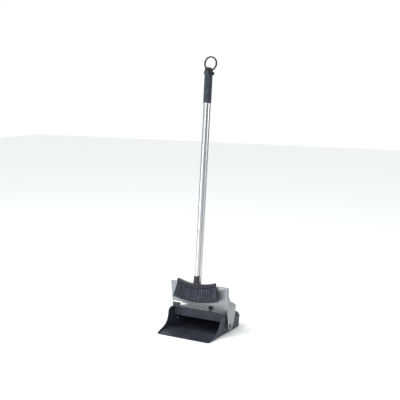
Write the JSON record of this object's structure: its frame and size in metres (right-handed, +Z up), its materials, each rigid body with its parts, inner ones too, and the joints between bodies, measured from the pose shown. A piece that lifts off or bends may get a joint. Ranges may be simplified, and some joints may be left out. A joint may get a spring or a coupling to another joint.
{
  "type": "dust pan and brush set",
  "caption": "Upright hooded dust pan in a bent steel frame on a tall pole, with a long-handled curved-head hand brush hung on it in an open fork.",
  "frame": {"origin": "centre of the pan's flat underside, on the floor", "axes": "+X across the pan to its right seen from the lip, +Y from the lip to the back, +Z up"},
  "size_m": [0.2764, 0.286, 1.1337],
  "materials": {
    "pan_plastic": "satin",
    "baffle_plastic": "matte",
    "trim_plastic": "matte",
    "block_plastic": "gloss",
    "bristle_fibre": "matte",
    "grip_rubber": "matte",
    "pole_aluminium": "satin",
    "sheet_steel": "satin",
    "fixing_steel": "satin",
    "washer_nylon": "matte"
  },
  "bodies": {
    "pan": {"pan_tray": "pan_plastic", "pan_hood": "pan_plastic", "inner_baffle": "baffle_plastic", "pivot_washer_left": "washer_nylon", "pivot_washer_right": "washer_nylon"},
    "frame": {"frame_plate": "sheet_steel", "pivot_pin_left": "fixing_steel", "pivot_pin_right": "fixing_steel", "pin_retainer_left": "fixing_steel", "pin_retainer_right": "fixing_steel", "pole_plug": "trim_plastic", "pole_screw": "fixing_steel", "pan_pole": "pole_aluminium", "pan_grip": "grip_rubber", "pan_cap": "trim_plastic", "hanging_loop": "trim_plastic", "brush_fork": "trim_plastic"},
    "catch": {"lock_catch": "trim_plastic"},
    "brush": {"brush_pole": "pole_aluminium", "brush_grip": "grip_rubber", "brush_cap": "trim_plastic", "brush_plug": "trim_plastic", "brush_block": "block_plastic", "bristles": "bristle_fibre"}
  },
  "joints": [
    {"name": "frame_hinge", "type": "hinge", "parent": "pan", "child": "frame", "pos_m": [0, 0.0155, 0.031], "axis": [-1, 0, 0], "range_deg": [0, 50]},
    {"name": "catch_slide", "type": "slide", "parent": "frame", "child": "catch", "axis": [-1, 0, 0], "range_m": [0, 0.018]},
    {"name": "brush_slide", "type": "slide", "parent": "frame", "child": "brush", "axis": [0, -0.9951, 0.0993], "range_m": [0, 0.08]}
  ]
}
